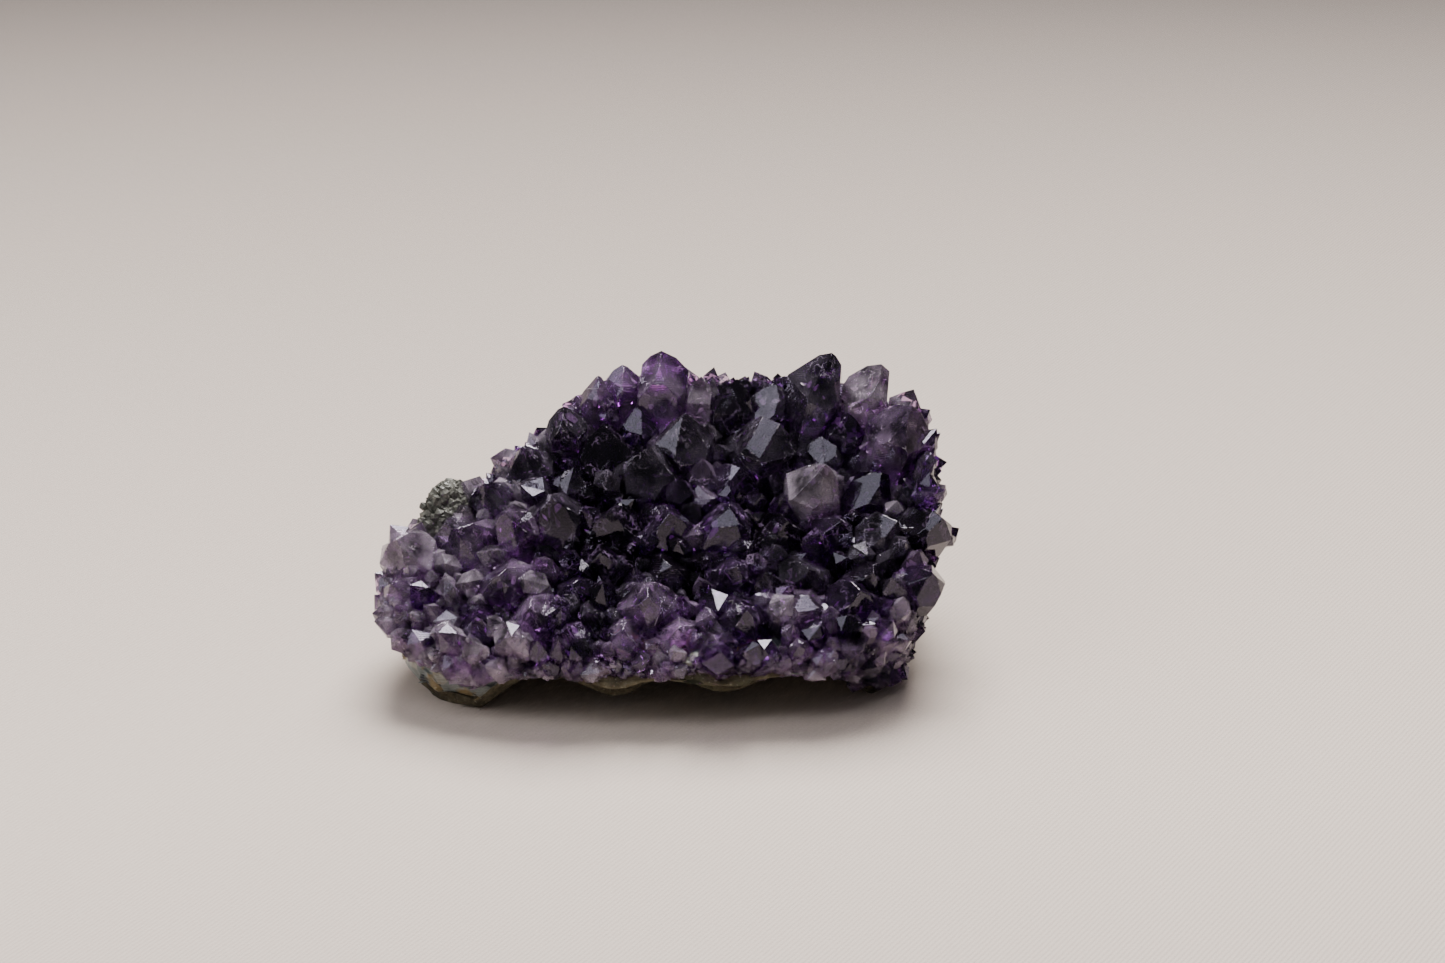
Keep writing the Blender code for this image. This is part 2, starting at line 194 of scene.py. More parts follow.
# %% [markdown]
# The cluster stands on a pale cotton cloth with a fine twill weave. The cloth lies flat and is
# large, so that it fills the view from above on every side. Its colour is darkened towards the
# back as painted shade, for the light that falls off there. The twill is only relief: slanting
# ribs, about three quarters of a millimetre apart.

# %% Cloth
CLOTH_REACH = 3.0
# The far colour is painted shade: the cloth is given a darker colour towards the back, where the light
# falls off.
CLOTH_NEAR, CLOTH_FAR_PAINTED_SHADE = (0.73, 0.63, 0.565), (0.12, 0.104, 0.098)


def cloth():
    """A disc of cloth, z = 0, rings of growing radius round a centre point."""
    spokes = 96
    rings = np.concatenate([np.linspace(0.05, 0.5, 24), np.geomspace(0.6, CLOTH_REACH, 12)])
    turn = np.linspace(0, 2 * np.pi, spokes, endpoint=False)
    radius, angle = np.meshgrid(rings, turn, indexing="ij")
    grid = np.stack([radius * np.cos(angle), radius * np.sin(angle), 0 * radius], -1).reshape(-1, 3)
    verts = np.vstack([[[0, 0, 0]], grid])
    ring, spoke = np.meshgrid(np.arange(len(rings) - 1), np.arange(spokes), indexing="ij")
    a = 1 + ring * spokes + spoke
    b = 1 + ring * spokes + (spoke + 1) % spokes
    quads = np.stack([a, a + spokes, b + spokes, b], -1).reshape(-1, 4)
    one = np.arange(spokes)
    fan = np.stack([0 * one, 1 + one, 1 + (one + 1) % spokes], -1)
    mesh = bpy.data.meshes.new("cloth")
    mesh.from_pydata(verts.tolist(), [], fan.tolist() + quads.tolist())
    thing = bpy.data.objects.new("cloth", mesh)
    bpy.context.scene.collection.objects.link(thing)
    return thing


floor = cloth()
weave = Finish("cotton_twill")
ribs = weave.add("TexWave", [("Vector", weave.where(lean=(0, 0, math.radians(35)))), ("Scale", 0.42),
                             ("Distortion", 0.6), ("Detail", 1.0)], bands_direction="X").outputs["Fac"]
threads = weave.noise(0.5, 3)
away = weave.add("SeparateXYZ", [("Vector", weave.where())]).outputs["Y"]
# Base colour: painted shade, darkening from the near colour to the far one towards the back.
weave.wire(weave.shader.inputs["Base Color"],
           weave.mix(weave.span(away, -50, 400, 0, 1), CLOTH_NEAR, CLOTH_FAR_PAINTED_SHADE))
weave.wire(weave.shader.inputs["Normal"], weave.bump(threads, 0.08, weave.bump(ribs, 0.05)))
weave.shader.inputs["Roughness"].default_value = 0.95
weave.shader.inputs["Specular IOR Level"].default_value = 0.1
floor.data.materials.append(weave.material)

# %% [markdown]
# ## Helpers for stone
# Broken stone needs two patterns, each a function of points in space that takes a whole array at
# once. Rounded lumps are a value noise: a steady random number at each corner of a lattice of
# cubes, blended smoothly inside each cube. Chips are a cell pattern: each point belongs to the
# nearest of a set of scattered seeds, and each seed has its own tilted plane, so that the surface
# breaks into small flat facets as real quartz does.

# %% Patterns in space
def steady(cells, seed):
    """A steady number from 0 to 1 for each whole-number cell (x, y, z)."""
    cells = cells.astype(np.int64)
    n = cells[..., 0] * 73856093 ^ cells[..., 1] * 19349663 ^ cells[..., 2] * 83492791 ^ seed * 2654435
    n = (n ^ n >> 13) * 1274126177 & 0x7FFFFFFF
    n = (n ^ n >> 15) * 668265263 & 0x7FFFFFFF
    return (n ^ n >> 12) % 65536 / 65535


def lumps(points, size, seed=1):
    """Value noise from -1 to 1: lattice corners' numbers, blended with 3t^2 - 2t^3 in each cube."""
    place = points / size
    cell = np.floor(place)
    t = place - cell
    t = t * t * (3 - 2 * t)
    total = 0
    for corner in np.ndindex(2, 2, 2):
        weight = np.prod(np.where(corner, t, 1 - t), axis=-1)
        total = total + weight * steady(cell + corner, seed)
    return 2 * total - 1


def rough(points, size, octaves, seed=1):
    """Lumps on lumps: each finer set has half the size and half the height."""
    return sum(lumps(points, size / 2 ** k, seed + k) / 2 ** k for k in range(octaves))


def chips(points, size, seed=1, tilt=0.8):
    """Facets: the height of the nearest seed's tilted plane, in units of size, about -1 to 1."""
    place = points / size
    cell = np.floor(place)
    best = np.full(place.shape[:-1], 1e9)
    height = np.zeros_like(best)
    for near in np.ndindex(3, 3, 3):
        other = cell + near - 1
        jitter = np.stack([steady(other, seed + k) for k in range(3)], -1)
        away = place - (other + jitter)
        distance = (away ** 2).sum(-1)
        lean = np.stack([steady(other, seed + 3 + k) - 0.5 for k in range(3)], -1) * 2 * tilt
        plane = (away * lean).sum(-1) + steady(other, seed + 6) - 0.5
        height = np.where(distance < best, plane, height)
        best = np.minimum(distance, best)
    return height


def smooth(low, high, value):
    """0 at low, 1 at high, with a level start and end."""
    t = np.clip((value - low) / (high - low), 0, 1)
    return t * t * (3 - 2 * t)


def unit(vectors):
    """Vectors along the last axis, made one long."""
    return vectors / np.linalg.norm(vectors, axis=-1, keepdims=True)


# %% [markdown]
# Each finished piece is made from arrays in millimetres and linked at the origin: it rides on the
# one body, takes the finish it is given, and the CAD nodes that it stands for are hidden.

# %% Pieces
def mesh_from(name, verts, faces, flat=True):
    """A mesh in metres from an array of points in mm and lists of faces."""
    mesh = bpy.data.meshes.new(name)
    mesh.from_pydata((np.asarray(verts) * MM).tolist(), [], faces)
    mesh.polygons.foreach_set("use_smooth", [not flat] * len(mesh.polygons))
    mesh.update()
    return mesh


def keep(name, mesh, finish, slot, *nodes):
    """Link a piece, ride it on the root, give it the finish's material, and hide the CAD nodes it stands
    for. slot is not used.
    """
    piece = bpy.data.objects.new(name, mesh)
    bpy.context.scene.collection.objects.link(piece)
    mesh.materials.clear()
    mesh.materials.append(finish.material)
    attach(piece, "root")
    if nodes:
        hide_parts(*nodes)
    return piece


# %% [markdown]
# ## The wall of the geode
# The three layers share one plan. The upper border is where the bed breaks off, the lower one
# the foot of the piece; both are smooth closed curves through a few points. Between them the
# broken side runs from the bed's border down to the foot. The borders, the feet and the bed are
# the CAD's own; the crust's lower edge and the knob are drawn a little freer than there.

# %% Plan and heights
MIDDLE = np.array([-0.625, 1.4])      # from the drawing's zero to the frame's, in mm
CENTRE = np.array([0.0, -2.0])
BED_BORDER = [
    (-42.5, -22), (-34, -27), (-20, -29), (-4, -30), (12, -29.5), (28, -28), (38, -23), (44, -12),
    (46, 0), (46, 10), (43, 20), (34, 26), (21, 27), (5, 27), (-9, 26), (-18, 20), (-27, 12),
    (-36, 5), (-45, -3), (-47, -13),
]
FOOT_BORDER = [
    (-39, -21), (-32, -24), (-19, -25), (-4, -25), (12, -25), (27, -23), (37, -19.5), (41, -11),
    (42, 0), (41, 9), (38, 17), (31, 22), (20, 23), (5, 23), (-8, 22), (-18, 17), (-27, 11),
    (-35, 5), (-40, -2), (-42, -12),
]
FEET = [(-34, -19), (34, -12), (-11, 14), (24, 16)]
BED_HEIGHT, BED_SLOPE, BED_DISH, BED_LEFT_FALL = 24.4, 0.48, 3, 2.5
DISH_AT, DISH_REACH = (2, -2), (44, 28)
ARCH_HEIGHT = 5.6                     # how far the front edge is held off the ground
RIND_CLEAR, RIND_LUMP = 1.4, 1.5      # the underside's mean height and its lumps'
FOOT_DROP, FOOT_SPREAD = 4.5, 56      # how far a foot reaches down, and how widely it spreads
BAND_THICKNESS, BAND_CORNER, CORNER_AT = 0.9, 4.4, (-41, -21)
CRUST_FRONT, CRUST_ENDS, CRUST_BACK, LEAST_CRUST = 3.2, 7.5, 5, 1.6
LEAST_BELOW = 2.8                     # room kept under the crust and the agate for the rind
RIGHT_CORNER, CORNER_DROP = (38, -20), 4.5      # where the crust hangs lower, and by how much
FRONT_LIFT = 3.4                      # how far it is cut back over the rind's front lumps
KNOB = np.array([-38.5, 2.5])         # the mossy knob at the back left
KNOB_HEIGHT, KNOB_SPREAD, KNOB_TOP = 6.2, 26, 26
KNOB_BARE = 5.5                       # how near to it no amethyst grows


def bed_height(x, y):
    """The sloping bed, dished in the middle and falling away at the left end."""
    along, back = (x - DISH_AT[0]) / DISH_REACH[0], (y - DISH_AT[1]) / DISH_REACH[1]
    dish = np.maximum(0, 1 - along ** 2 - back ** 2)
    return BED_HEIGHT + BED_SLOPE * y - BED_DISH * dish - BED_LEFT_FALL * smooth(-18, -42, x)


def ground_side(x, y):
    """The underside: four feet, lumps between them, and an arch under the front edge."""
    across = smooth(-34, -22, x) * (1 - 0.75 * smooth(26, 40, x))
    arch = ARCH_HEIGHT * across * smooth(-3, -22, y)
    foot = np.max([np.exp(-((x - fx) ** 2 + (y - fy) ** 2) / FOOT_SPREAD) for fx, fy in FEET], axis=0)
    points = np.stack([x, y, 0 * x + 9], -1)
    return np.maximum(0, arch + RIND_CLEAR + RIND_LUMP * lumps(points, 7, 5) - FOOT_DROP * foot)


def agate_thickness(x, y):
    """Thin in general, and thick at the front left corner."""
    corner = np.exp(-((x - CORNER_AT[0]) ** 2 + (y - CORNER_AT[1]) ** 2) / 110)
    return BAND_THICKNESS + BAND_CORNER * corner


def quartz_under(x, y):
    """Under the quartz: thin along the front, thick at both ends and at the back."""
    thick = CRUST_FRONT + CRUST_ENDS * smooth(20, 46, np.abs(x)) + CRUST_BACK * smooth(-24, 10, y)
    room = bed_height(x, y) - ground_side(x, y) - LEAST_BELOW - agate_thickness(x, y)
    corner = CORNER_DROP * np.exp(-((x - RIGHT_CORNER[0]) ** 2 + (y - RIGHT_CORNER[1]) ** 2) / 90)
    ragged = 0.9 * lumps(np.stack([x, y, 0 * x], -1), 4, 61)
    lifted = FRONT_LIFT * smooth(-20, -12, x) * smooth(26, 17, x) * smooth(-18, -25, y)
    crust_depth = np.maximum(np.minimum(thick, room), LEAST_CRUST)
    return bed_height(x, y) - crust_depth - corner - ragged + lifted


def rind_top(x, y):
    """The seam between the agate and the rind."""
    return quartz_under(x, y) - agate_thickness(x, y)


def knob_height(x, y):
    """How far the knob stands up from the bed."""
    return KNOB_HEIGHT * np.exp(-((x - KNOB[0]) ** 2 + (y - KNOB[1]) ** 2) / KNOB_SPREAD)


def loop_points(points, t):
    """Catmull-Rom curve through a closed list of plan points, for an array of t from 0 to 1."""
    points = np.array(points, float)
    place = (t % 1) * len(points)
    i = np.floor(place).astype(int)
    u = (place - i)[..., None]
    p0, p1, p2, p3 = (points[(i + k) % len(points)] for k in (-1, 0, 1, 2))
    return 0.5 * (2 * p1 + (p2 - p0) * u + (2 * p0 - 5 * p1 + 4 * p2 - p3) * u * u
                  + (3 * p1 - p0 - 3 * p2 + p3) * u ** 3)


def side_point(t, height):
    """Plan point of the broken side: the bed's border above, drawn in to the foot's below."""
    top, foot = loop_points(BED_BORDER, t), loop_points(FOOT_BORDER, t)
    z_top, z_foot = bed_height(*top.T), ground_side(*foot.T)
    fall = np.clip((z_top - height) / (z_top - z_foot), 0, 1)[..., None]
    return top + (foot - top) * fall ** 2


def seam(t, surface):
    """Plan points where a surface meets the broken side, closed in on in four steps."""
    point = loop_points(BED_BORDER, t)
    for _ in range(4):
        point = side_point(t, surface(*point.T))
    return point


print("bed at the middle is", round(float(bed_height(0.0, 0.0)), 1), "mm high")

# %% [markdown]
# A layer is one closed skin: rings run out over its top from a pole in the middle, down its
# broken side, and back in underneath to a second pole. Its shape is a function of two
# parameters, the turn round the plan and the way from pole to pole.

# %% One layer of the wall
def layer(name, top, under, around, over, side, below):
    """Points of a layer (mm): the top pole, then over + side + below - 1 rings, then the lower pole.

    top and under give heights over the plan; the side between their seams follows side_point.
    Returns points, faces and, for each point, how far down the side it is (0 top, 1 bottom).
    """
    t = np.arange(around) / around
    top_seam, under_seam = seam(t, top), seam(t, under)
    rows, down = [], []
    for ring in range(1, over + 1):
        plan = CENTRE + (top_seam - CENTRE) * (ring / over) ** 0.85
        rows.append(np.column_stack([plan, top(*plan.T)]))
        down.append(0.0)
    z_top, z_under = top(*top_seam.T), under(*under_seam.T)
    for ring in range(1, side + 1):
        z = z_top + (z_under - z_top) * ring / side
        rows.append(np.column_stack([side_point(t, z), z]))
        down.append(ring / side)
    for ring in range(below - 1, 0, -1):
        plan = CENTRE + (under_seam - CENTRE) * (ring / below) ** 0.85
        rows.append(np.column_stack([plan, under(*plan.T)]))
        down.append(1.0)
    poles = [[[*CENTRE, surface(*CENTRE)]] for surface in (top, under)]
    verts = np.vstack([poles[0], *rows, poles[1]])
    share = np.concatenate([[0], np.repeat(down, around), [1]])
    ring, spoke = np.meshgrid(np.arange(len(rows) - 1), np.arange(around), indexing="ij")
    a, b = 1 + ring * around + spoke, 1 + ring * around + (spoke + 1) % around
    quads = np.stack([a, a + around, b + around, b], -1).reshape(-1, 4).tolist()
    one, last = np.arange(around), len(verts) - 1
    first_ring, last_ring = 1 + one, 1 + (len(rows) - 1) * around + one
    fans = np.stack([0 * one, first_ring, np.roll(first_ring, -1)], -1).tolist()
    fans += np.stack([0 * one + last, np.roll(last_ring, -1), last_ring], -1).tolist()
    print(name, len(verts), "points")
    return verts, quads + fans, share


def outward(verts):
    """Level unit vectors from the middle of the plan."""
    away = verts[:, :2] - CENTRE
    return away / np.maximum(np.linalg.norm(away, axis=1, keepdims=True), 1e-6)


def into_frame(verts):
    """From the drawing's zero to the frame's, with nothing left below the ground."""
    verts = verts.copy()
    verts[:, :2] += MIDDLE
    verts[:, 2] = np.maximum(verts[:, 2], 0)
    return verts


# %% [markdown]
# The basalt rind was the lava round the gas bubble. It weathered to a brown-green crust with
# rounded lumps, pits and a few tan veins. It is a layer with lumps of three sizes; below the
# ground line nothing may pass, so its feet are cut off level.

# %% Basalt rind
FRONT_LUMPS = ((-8, 6), (11, 7))      # where the rind bulges under the front edge: x, width
FRONT_HANG, FRONT_SWELL = 4.0, 4.2    # how far it does so downwards, and outwards


def front_bulge(x, y):
    """0 to 1: how far the two lumps under the front edge stand out."""
    return sum(np.exp(-((x - at) / wide) ** 2) for at, wide in FRONT_LUMPS) * smooth(-12, -22, y)


def basalt_rind():
    """The rind's layer with its lumps, chips and pits."""
    def under(x, y):
        hanging = ground_side(x, y) - FRONT_HANG * front_bulge(x, y)
        return np.maximum(np.minimum(hanging, rind_top(x, y) - 1), 0)

    verts, faces, share = layer("rind", rind_top, under, 300, 12, 44, 40)
    relief = 0.8 * rough(verts, 6, 4, 11) + 1.3 * chips(verts, 6, 19) + 0.4 * chips(verts, 2.6, 17)
    pits = -1.1 * smooth(0.45, 0.75, lumps(verts, 2.4, 23))
    rim = np.sin(np.pi * np.clip(share, 0, 1)) + 0.15
    bulge = front_bulge(verts[:, 0], verts[:, 1])
    relief = relief + FRONT_SWELL * bulge * np.sin(np.pi * np.clip(share * 1.3, 0, 1))
    verts[:, :2] += outward(verts) * ((relief + pits) * np.minimum(rim, 1) * (share > 0))[:, None]
    beneath = share >= 1
    verts[beneath, 2] += 0.5 * (relief + pits)[beneath]
    verts[:, 2] = np.maximum(verts[:, 2], 0)
    return mesh_from("basalt_rind_piece", into_frame(verts), faces)


basalt = Finish("weathered_basalt")
brown = basalt.ramp(basalt.noise(3.5, 8, 0.68), (0.3, (0.022, 0.019, 0.013)),
                    (0.48, (0.075, 0.062, 0.036)), (0.62, (0.15, 0.13, 0.08)), (0.8, (0.24, 0.215, 0.15)))
green = basalt.span(basalt.noise(8, 4), 0.5, 0.62, 0, 0.6)
brown = basalt.mix(green, brown, (0.085, 0.088, 0.048))
rust = basalt.span(basalt.noise(6, 6, 0.7), 0.56, 0.72, 0, 0.7)
brown = basalt.mix(rust, brown, (0.20, 0.125, 0.05))
speck = basalt.span(basalt.noise(0.6, 2), 0.62, 0.7, 0, 0.5)
basalt.wire(basalt.shader.inputs["Base Color"], basalt.mix(speck, brown, (0.32, 0.29, 0.22)))
basalt.shader.inputs["Roughness"].default_value = 0.85
grit = basalt.bump(basalt.noise(0.5, 6, 0.65), 0.3, basalt.bump(basalt.noise(2.2, 5), 0.6))
basalt.wire(basalt.shader.inputs["Normal"], grit)
keep("basalt_rind_piece", basalt_rind(), basalt, "basalt", "basalt_rind")

# %% [markdown]
# Between rind and quartz is a skin of agate: thin, blue-grey and waxy, and thicker at the front
# left corner, where it shows as angular pieces with fine bands and rusty stains.

# %% Agate skin
def agate_skin():
    """The agate's layer, its edge chipped into small faces."""
    verts, faces, share = layer("agate", lambda x, y: quartz_under(x, y) + 0.25,
                                lambda x, y: rind_top(x, y) - 0.15, 360, 4, 20, 4)
    bulge = 0.3 + 1.5 * chips(verts, 4.6, 33) + 0.5 * chips(verts, 1.8, 37)
    verts[:, :2] += outward(verts) * (bulge * (share > 0) * (share <= 1))[:, None]
    return mesh_from("agate_skin", into_frame(verts), faces)


agate = Finish("banded_agate")
cells = agate.add("TexVoronoi", [("Vector", agate.where()), ("Scale", 0.24)]).outputs["Color"]
cell = agate.add("SeparateXYZ", [("Vector", cells)]).outputs["X"]
tone = agate.ramp(cell, (0.15, (0.012, 0.022, 0.03)), (0.3, (0.10, 0.125, 0.13)),
                  (0.6, (0.19, 0.215, 0.21)), (0.8, (0.27, 0.27, 0.24)))
bands = agate.add("TexWave", [("Vector", agate.where(lean=(math.radians(-25), 0, 0))), ("Scale", 0.7),
                              ("Distortion", 3.0), ("Detail", 2.0), ("Detail Scale", 0.6)],
                  bands_direction="Z").outputs["Fac"]
tone = agate.mix(agate.span(bands, 0.6, 1, 0, 0.35), tone, (0.42, 0.43, 0.40))
stain = agate.span(agate.noise(4, 4), 0.52, 0.62, 0, 0.9)
agate.wire(agate.shader.inputs["Base Color"], agate.mix(stain, tone, (0.25, 0.185, 0.085)))
agate.shader.inputs["Roughness"].default_value = 0.38
agate.wire(agate.shader.inputs["Normal"], agate.bump(agate.noise(0.9, 4), 0.12))
keep("agate_skin", agate_skin(), agate, "agate", "agate_band")

# %% [markdown]
# The crust of quartz carries the crystals, which hide most of its top. Its broken side shows how
# they grew, as coarse angular columns packed side by side, palest at the left end and along the
# front. Chips of two sizes break the side into facets. The knob at the back left is mossy grey.

# %% Quartz crust
def quartz_crust():
    """The crust's layer, chipped on its side, with the knob on top."""
    def top(x, y):
        return bed_height(x, y) - 0.3 + knob_height(x, y)

    verts, faces, share = layer("crust", top, quartz_under, 420, 40, 26, 4)
    stretched = verts * [1, 1, 0.45]
    relief = 1.0 * chips(stretched, 2.6, 41) + 0.45 * chips(stretched, 1.2, 47)
    on_side = (share > 0) & (share <= 1)
    verts[:, :2] += outward(verts) * (relief * on_side * np.where(share == 1, 0.4, 1))[:, None]
    verts[~on_side, 2] += (0.5 * relief)[~on_side]
    near_knob = np.exp(-((verts[:, :2] - KNOB) ** 2).sum(1) / 40) * ~on_side
    verts[:, 2] += near_knob * 0.8 * rough(verts, 2.5, 3, 53)
    return mesh_from("quartz_crust", into_frame(verts), faces)


crust = Finish("broken_quartz")
ends = crust.add("SeparateXYZ", [("Vector", crust.where())])
left = crust.span(ends.outputs["X"], -18, -34, 0, 1)
right = crust.span(ends.outputs["X"], 36, 46, 0, 0.3)
front = crust.span(ends.outputs["Y"], -25, -28, 0, 0.6)
pale = crust.maths("MAXIMUM", crust.maths("MAXIMUM", left, right), front)
light = crust.ramp(crust.noise(2.0, 5), (0.3, (0.12, 0.075, 0.15)), (0.55, (0.24, 0.175, 0.28)),
                   (0.8, (0.5, 0.44, 0.53)))
deep = crust.ramp(crust.noise(2.0, 5), (0.3, (0.012, 0.008, 0.018)), (0.7, (0.06, 0.04, 0.075)))
spot = crust.add("VectorMath", [(0, crust.where()), (1, (*(KNOB + MIDDLE), KNOB_TOP))],
                 operation="DISTANCE").outputs["Value"]
mossy = crust.ramp(crust.noise(1.2, 5), (0.3, (0.05, 0.05, 0.045)), (0.6, (0.15, 0.15, 0.13)),
                   (0.8, (0.3, 0.29, 0.26)))
crust.wire(crust.shader.inputs["Base Color"],
           crust.mix(crust.span(spot, 7, 9, 1, 0), crust.mix(pale, deep, light), mossy))
crust.wire(crust.shader.inputs["Roughness"], crust.span(crust.noise(1.1, 3), 0.35, 0.65, 0.2, 0.7))
crust.wire(crust.shader.inputs["Normal"], crust.bump(crust.noise(0.5, 4), 0.15))
keep("quartz_crust", quartz_crust(), crust, "quartz", "quartz_bed")

# %% [markdown]
# ## Amethyst
# Amethyst is quartz glass with its colour in the stone, so the finish is a glass whose inside
# soaks up light: the deeper the light goes, the darker and more purple it comes out. Five kinds
# differ in how strongly they absorb. Surfaces are not perfect: growth steps ripple them, clouds
# and thin streaks make them milky, and edges are chipped white. A face that broke off flat is
# smooth instead, and a few deep stones are darker and almost without clouds.

# %% Crystal finishes
CHIP_WHITE = (0.85, 0.82, 0.86)
DEEP_TINT = (0.20, 0.12, 0.28)
SHEEN = (0.82, 0.78, 1.0, 1)          # gloss tinted cool, against the warm cloth


def amethyst(name, soak, tint, milk, frost):
    """Glass that absorbs soak (per metre, for red, green and blue).

    tint colours the surface and the clouds, milk is the share of light that the thickest clouds
    scatter, and frost the roughness of the dullest patches. Faces carry three numbers: rim is 1
    on a bevel, cleaved on a face that broke off flat, and deep on a deep stone.
    """
    stone = Finish(name)
    strongest = max(soak) * 1.02
    inside = stone.add("VolumeAbsorption")
    inside.inputs["Color"].default_value = (*[1 - s / strongest for s in soak], 1)
    inside.inputs["Density"].default_value = strongest
    stone.links.new(inside.outputs[0], stone.nodes["Material Output"].inputs["Volume"])
    clouds = stone.span(stone.noise(5, 3), 0.40, 0.65, 0.1 * milk, milk)
    crease = stone.maths("ABSOLUTE", stone.maths("SUBTRACT", stone.noise(3.5, 4, 0.6), 0.5))
    patches = stone.span(stone.noise(4, 2), 0.48, 0.62, 0, 0.45)
    streaks = stone.maths("MULTIPLY", stone.span(crease, 0, 0.018, 1, 0), patches)
    deep = stone.attribute("deep")
    clouds = stone.maths("MULTIPLY", stone.maths("MAXIMUM", clouds, streaks),
                         stone.span(deep, 0, 1, 1, 0.15))
    chipped = stone.span(stone.noise(0.8, 3), 0.54, 0.66, 0, 0.6)
    rim = stone.maths("MULTIPLY", stone.attribute("rim"), chipped)
    colour = stone.mix(deep, tint, DEEP_TINT)
    stone.wire(stone.shader.inputs["Base Color"], stone.mix(rim, colour, CHIP_WHITE))
    clear = stone.maths("SUBTRACT", 1.0, stone.maths("MAXIMUM", clouds, rim))
    stone.wire(stone.shader.inputs["Transmission Weight"], clear)
    stone.shader.inputs["IOR"].default_value = 1.54
    stone.shader.inputs["Specular Tint"].default_value = SHEEN
    dull = stone.span(stone.noise(2.4, 3), 0.5, 0.7, 0.03, frost)
    stone.wire(stone.shader.inputs["Roughness"], stone.span(stone.attribute("cleaved"), 0, 1, dull, 0.1))
    steps = stone.add("TexWave", [("Vector", stone.where(lean=(math.radians(28), 0, 0))), ("Scale", 0.9),
                                  ("Distortion", 4.0), ("Detail", 3.0), ("Detail Scale", 0.4)],
                      bands_direction="Z").outputs["Fac"]
    stepped = stone.maths("MULTIPLY", steps, stone.span(stone.noise(5, 2), 0.56, 0.66, 0, 1))
    calm = stone.span(stone.attribute("cleaved"), 0, 1, 1, 0)
    ripple = stone.bump(stepped, 0.03, stone.bump(stone.noise(2.4, 2), 0.015, strength=calm), calm)
    stone.wire(stone.shader.inputs["Normal"], ripple)
    return stone


KINDS = {
    "amethyst_dark": amethyst("amethyst_dark", (480, 820, 380), (0.42, 0.28, 0.52), 0.015, 0.15),
    "amethyst_purple": amethyst("amethyst_purple", (125, 370, 80), (0.55, 0.34, 0.72), 0.035, 0.15),
    "amethyst_lilac": amethyst("amethyst_lilac", (62, 170, 42), (0.70, 0.50, 0.80), 0.15, 0.2),
    "quartz_pale": amethyst("quartz_pale", (45, 92, 38), (0.80, 0.68, 0.84), 0.32, 0.3),
    "quartz_grey": amethyst("quartz_grey", (120, 230, 95), (0.52, 0.43, 0.60), 0.08, 0.2),
}
print("kinds of crystal:", ", ".join(KINDS))

# %% [markdown]
# The large crystals stand where the CAD has them, and their faces are already right. Each is
# copied from its node, its loose triangles merged back into flat faces, and its edges given a
# narrow bevel that is marked, so that the finish can chip it white. A few are cut off flat, and
# thin plates inside them all stand for healed cracks.

# %% Large crystals
GREY, WHITE = (-0.08, -0.65, 0.75), (0.11, -0.64, 0.76)      # how a face looks to shine so
CLEAVED = {                           # large crystals broken off flat: the face, and how deep
    "front_right_bright": (WHITE, 1.7), "centre_facet": (GREY, 1.6), "right_facet": (GREY, 1.2),
    "middle_left_small": (GREY, 1.0), "upper_grey_face": (GREY, 1.5), "upper_glint": (WHITE, 0.7),
    "right_block": (GREY, 1.0), "centre_deep": (GREY, 0.8), "right_upper_grey": (GREY, 0.9),
}
DEEP = ("right_edge", "right_pale_point", "right_lilac_low")      # darker than their kind, unveiled


def bevelled(node, width=0.08):
    """A copy of a node's mesh with whole faces and bevelled edges, its faces marked for the finish.

    A crystal in CLEAVED first loses what lies beyond a plane, a few tenths to two mm deep.
    """
    bm = bmesh.new()
    bm.from_mesh(frame["nodes"][node].data)
    bmesh.ops.remove_doubles(bm, verts=bm.verts, dist=0.00001)
    bmesh.ops.dissolve_limit(bm, angle_limit=math.radians(1), verts=bm.verts, edges=bm.edges)
    if node in CLEAVED:
        face, depth = Vector(CLEAVED[node][0]).normalized(), CLEAVED[node][1]
        furthest = max(bm.verts, key=lambda vert: vert.co.dot(face)).co
        bmesh.ops.bisect_plane(bm, geom=bm.verts[:] + bm.edges[:] + bm.faces[:], clear_outer=True,
                               plane_co=furthest - face * depth * MM, plane_no=face)
        bmesh.ops.holes_fill(bm, edges=[edge for edge in bm.edges if edge.is_boundary])
    rim, cleaved, deep = (bm.faces.layers.float.new(key) for key in ("rim", "cleaved", "deep"))
    if node in CLEAVED:
        bm.normal_update()
        for flat in bm.faces:
            flat[cleaved] = float(flat.normal.dot(face) > 0.999)
    made = bmesh.ops.bevel(bm, geom=bm.edges[:], offset=width * MM, segments=1, affect="EDGES",
                           clamp_overlap=True)
    for strip in made["faces"]:
        strip[rim], strip[cleaved] = 1.0, 0.0
    for side in bm.faces:
        side[deep] = float(node in DEEP)
    mesh = bpy.data.meshes.new(node + "_piece")
    bm.to_mesh(mesh)
    bm.free()
    return mesh


